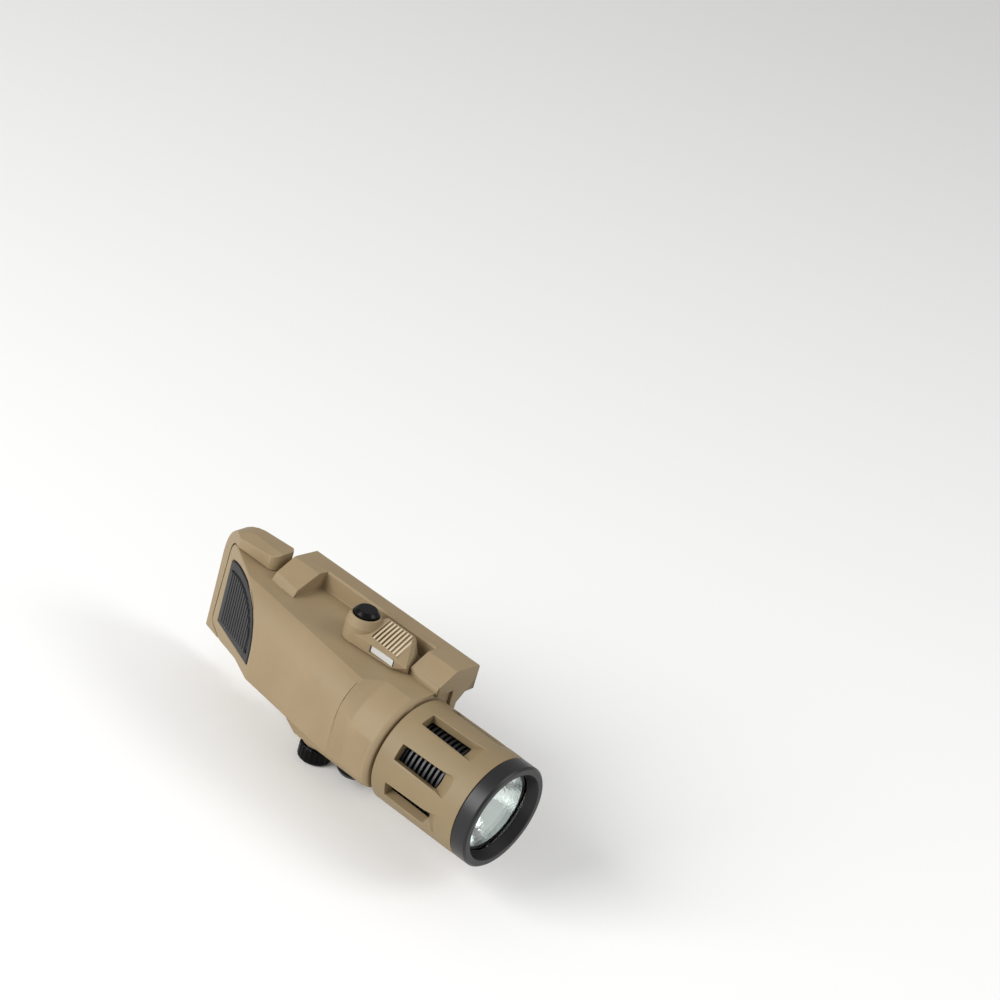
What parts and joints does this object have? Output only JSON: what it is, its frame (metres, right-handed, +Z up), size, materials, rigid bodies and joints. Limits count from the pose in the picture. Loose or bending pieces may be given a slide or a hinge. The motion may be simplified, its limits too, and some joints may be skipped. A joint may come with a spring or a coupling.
{
  "type": "helmet flashlight",
  "caption": "Rail-mounted helmet flashlight: angular tan body with slanted thumb button, tail guard bail, vented round head with black bezel, and a side rail clamp with a lock lever.",
  "frame": {"origin": "middle of the front land of the flat rail seat, between the rail lip and the clamp jaw", "axes": "+X forward along the beam, +Y out of the rail seat towards the rail that holds the light, +Z up from the clamp jaw towards the lock lever"},
  "size_m": [0.128, 0.0389, 0.0542],
  "materials": {
    "tan_polymer": "matt moulded",
    "black_anodised": "satin black anodised",
    "rubber": "matt",
    "black_plastic": "gloss",
    "label": "blank printed label",
    "lens_glass": "clear, slightly green edge",
    "reflector": "orange-peel vacuum coating",
    "steel": "plain",
    "brass": "plain",
    "circuit_board": "solder mask",
    "emitter": "phosphor under a clear dome",
    "cell_wrap": "plain shrink wrap"
  },
  "bodies": {
    "light_body": {"main_body": "tan_polymer", "thread_insert": "brass", "neck_o_ring": "rubber", "tail_spring": "steel", "tail_contact": "brass", "cell_front": "cell_wrap", "cell_rear": "cell_wrap", "pad_surround": "rubber", "tact_switch": "black_plastic", "switch_board": "circuit_board", "bail_pin_upper": "steel", "bail_pin_lower": "steel", "detent_ball": "steel", "detent_spring": "steel", "jaw_spring": "steel"},
    "head": {"bezel_ring": "black_anodised", "lens": "lens_glass", "lens_o_ring": "rubber", "reflector": "reflector", "led_emitter": "emitter", "led_board": "circuit_board", "heat_sink": "black_anodised", "driver_board": "circuit_board", "front_contact": "brass", "head_shroud": "tan_polymer"},
    "button": {"button_pad": "rubber", "switch_plunger": "black_plastic"},
    "guard_bail": {"bail": "tan_polymer"},
    "lever": {"lock_lever": "tan_polymer", "lever_label": "label", "lever_shaft": "steel", "lever_screw": "steel", "lock_spring": "steel"},
    "lever_lock": {"lock_button": "black_plastic"},
    "lug": {"recoil_lug": "steel"},
    "jaw": {"clamp_jaw": "tan_polymer", "guide_screw": "black_anodised"},
    "knob": {"thumb_knob": "black_plastic", "thumb_screw": "steel", "knob_washer": "steel"}
  },
  "joints": [
    {"name": "head_turn", "type": "hinge", "parent": "light_body", "child": "head", "pos_m": [0.0156, -0.0149, -0.0033], "axis": [1, 0, 0], "range_deg": [0, 90]},
    {"name": "button_press", "type": "slide", "parent": "light_body", "child": "button", "axis": [0.5299, 0.848, 0], "range_m": [0, 0.0009], "stiffness_N_per_m": 2000, "springref_m": -0.0005},
    {"name": "bail_flip", "type": "hinge", "parent": "light_body", "child": "guard_bail", "pos_m": [-0.0559, -0.0045, -0.0017], "axis": [0, 0, 1], "range_deg": [0, 60]},
    {"name": "lever_swing", "type": "hinge", "parent": "light_body", "child": "lever", "pos_m": [-0.017, -0.0093, 0.0137], "axis": [0, 0, 1], "range_deg": [-180, 0]},
    {"name": "lock_press", "type": "slide", "parent": "lever", "child": "lever_lock", "axis": [0, 0, -1], "range_m": [0, 0.0008], "stiffness_N_per_m": 2000, "springref_m": -0.0004, "deforming": ["lock_spring"]},
    {"name": "lug_slide", "type": "slide", "parent": "light_body", "child": "lug", "axis": [0, -1, 0], "range_m": [0, 0.0024]},
    {"name": "jaw_slide", "type": "slide", "parent": "light_body", "child": "jaw", "axis": [0, 0, -1], "range_m": [0, 0.003], "deforming": ["jaw_spring"]},
    {"name": "knob_turn", "type": "hinge", "parent": "jaw", "child": "knob", "pos_m": [-0.0209, -0.0099, -0.0253], "axis": [0, 0, 1], "range_deg": [0, 1080]}
  ],
  "couplings": [
    {"joint": "lever_swing", "follows": "lug_slide", "rad_per_m": -1309},
    {"joint": "knob_turn", "follows": "jaw_slide", "rad_per_m": 6283.2}
  ]
}
